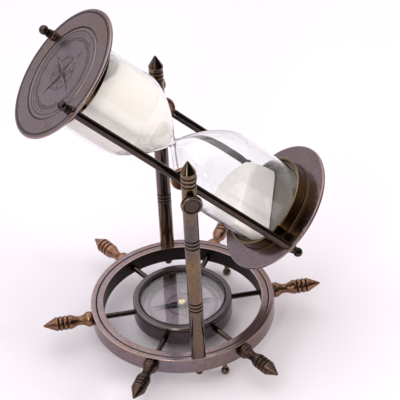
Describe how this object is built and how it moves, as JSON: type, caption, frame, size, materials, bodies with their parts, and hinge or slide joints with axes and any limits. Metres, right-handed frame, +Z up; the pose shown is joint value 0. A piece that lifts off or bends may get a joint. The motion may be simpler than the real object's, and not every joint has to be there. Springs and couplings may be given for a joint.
{
  "type": "hourglass",
  "caption": "Sand timer swinging between two posts on a ship's-wheel stand, with a compass in the wheel's hub.",
  "frame": {"origin": "centre of the stand on the surface it rests on", "axes": "+Z up; the two posts stand on the Y axis and the timer turns about a Y axis between them; +X towards the low end of the timer at rest"},
  "size_m": [0.2046, 0.1732, 0.2643],
  "materials": {
    "patina_brass": "polished brass under a mauve-grey antique patina, pale at the worn edges",
    "engraved_brass": "antique patina with a paler engraved pattern",
    "dark_bronze": "dark grey-brown antique bronze, polished",
    "black_bronze": "near-black antique bronze, polished",
    "copper_bronze": "copper-brown antique finish, turned and polished",
    "yellow_brass": "brass showing gold through a brown patina",
    "smoked_brass": "dark grey antique finish, satin",
    "dial_face": "fine matt mauve-grey plate with etched marks",
    "blued_steel": "blued steel",
    "lens_glass": "clear flat glass",
    "blown_glass": "clear blown glass",
    "felt": "dark felt",
    "sand": "fine off-white sand"
  },
  "bodies": {
    "base": {"wheel_rim": "patina_brass", "spoke_1": "black_bronze", "spoke_2": "black_bronze", "spoke_3": "black_bronze", "spoke_4": "black_bronze", "spoke_5": "black_bronze", "spoke_6": "black_bronze", "handle_1": "copper_bronze", "handle_2": "copper_bronze", "handle_3": "copper_bronze", "handle_4": "copper_bronze", "handle_5": "copper_bronze", "handle_6": "copper_bronze", "ball_feet": "dark_bronze", "post_front": "dark_bronze", "post_rear": "dark_bronze", "post_cap_nuts": "yellow_brass", "compass_housing": "smoked_brass", "compass_bezel": "smoked_brass", "compass_lens": "lens_glass", "lens_spacer": "smoked_brass", "compass_dial": "dial_face", "needle_pivot": "yellow_brass"},
    "needle": {"compass_needle": "blued_steel", "needle_cap": "yellow_brass"},
    "timer": {"pivot_spacer_front": "black_bronze", "pivot_spacer_rear": "black_bronze", "pivot_nut_front": "copper_bronze", "pivot_nut_rear": "copper_bronze", "tie_rod_front": "black_bronze", "tie_rod_rear": "black_bronze", "rod_ball_nuts": "black_bronze", "end_plate_upper": "patina_brass", "end_plate_lower": "patina_brass", "medallion_upper": "engraved_brass", "medallion_lower": "engraved_brass", "cup_upper": "yellow_brass", "cup_lower": "yellow_brass", "liner_upper": "felt", "liner_lower": "felt", "glass_upper": "blown_glass", "glass_lower": "blown_glass", "sand_upper": "sand", "sand_lower": "sand"},
    "screw_front": {"thumb_screw_front": "black_bronze"},
    "screw_rear": {"thumb_screw_rear": "black_bronze"}
  },
  "joints": [
    {"name": "timer_turn", "type": "hinge", "parent": "base", "child": "timer", "pos_m": [0, 0, 0.162], "axis": [0, 1, 0], "continuous": true},
    {"name": "needle_swing", "type": "hinge", "parent": "base", "child": "needle", "pos_m": [0, 0, 0.019], "axis": [0, 0, 1], "continuous": true},
    {"name": "screw_front_turn", "type": "hinge", "parent": "base", "child": "screw_front", "pos_m": [0, -0.0605, 0.162], "axis": [0, -1, 0], "range_deg": [0, 360]},
    {"name": "screw_rear_turn", "type": "hinge", "parent": "base", "child": "screw_rear", "pos_m": [0, 0.0605, 0.162], "axis": [0, 1, 0], "range_deg": [0, 360]}
  ]
}
